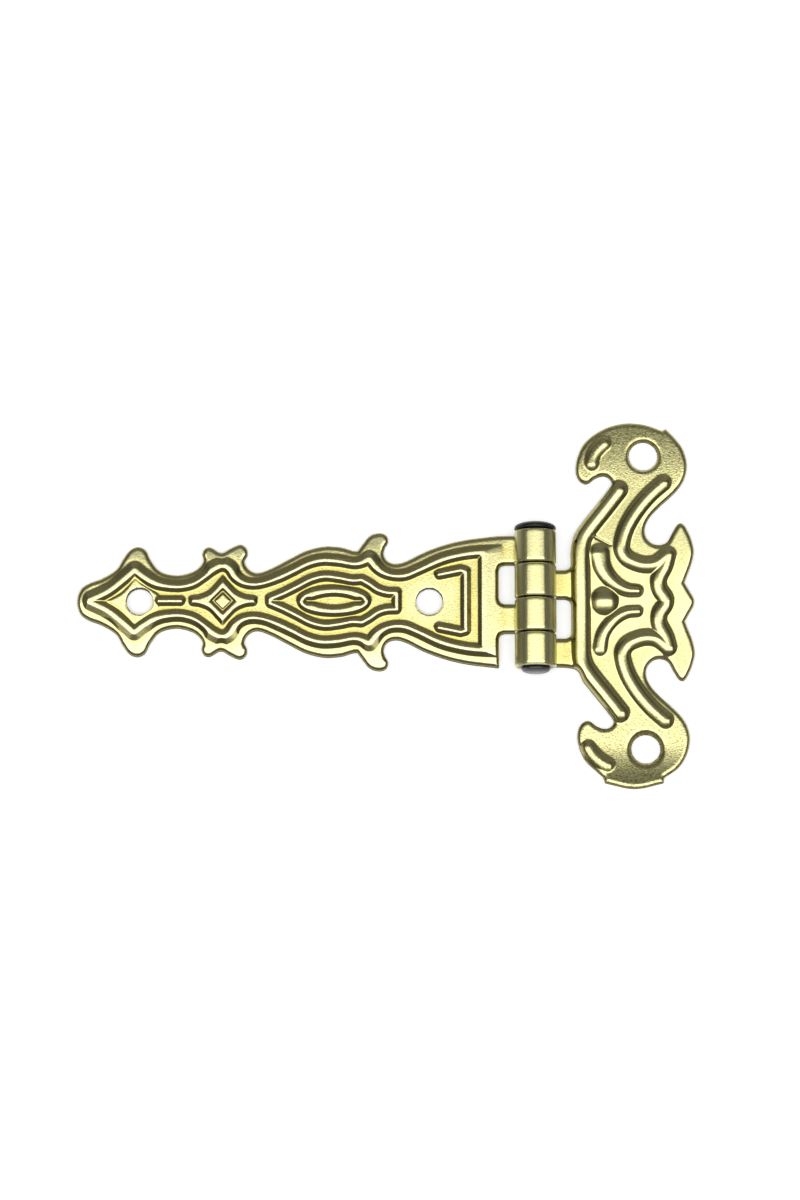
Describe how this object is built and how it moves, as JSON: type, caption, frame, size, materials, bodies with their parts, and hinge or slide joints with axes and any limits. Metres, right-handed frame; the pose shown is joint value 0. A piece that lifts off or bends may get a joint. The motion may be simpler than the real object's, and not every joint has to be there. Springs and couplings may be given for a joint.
{
  "type": "decorative strap hinge",
  "caption": "Decorative stamped strap hinge: a long pointed strap leaf with pressed relief and a curled scroll leaf, joined by rolled knuckles on a rivet pin, for small boxes and chests.",
  "frame": {"origin": "middle of the barrel, on the pin's centre line dropped to the plane of the leaves' backs", "axes": "+X from the strap leaf towards the scroll leaf, +Y along the pin towards its domed head, +Z out of the decorated face"},
  "size_m": [0.0631, 0.0381, 0.0043],
  "materials": {
    "brass_plating": "polished brass plating with a fine grain",
    "dark_steel": "blackened steel rivet"
  },
  "bodies": {
    "scroll_side": {"scroll_leaf": "brass_plating", "hinge_pin": "dark_steel"},
    "strap_side": {"strap_leaf": "brass_plating"}
  },
  "joints": [
    {"name": "leaf_swing", "type": "hinge", "parent": "scroll_side", "child": "strap_side", "pos_m": [0, 0, 0.00215], "axis": [0, 1, 0], "range_deg": [-110, 180]}
  ]
}
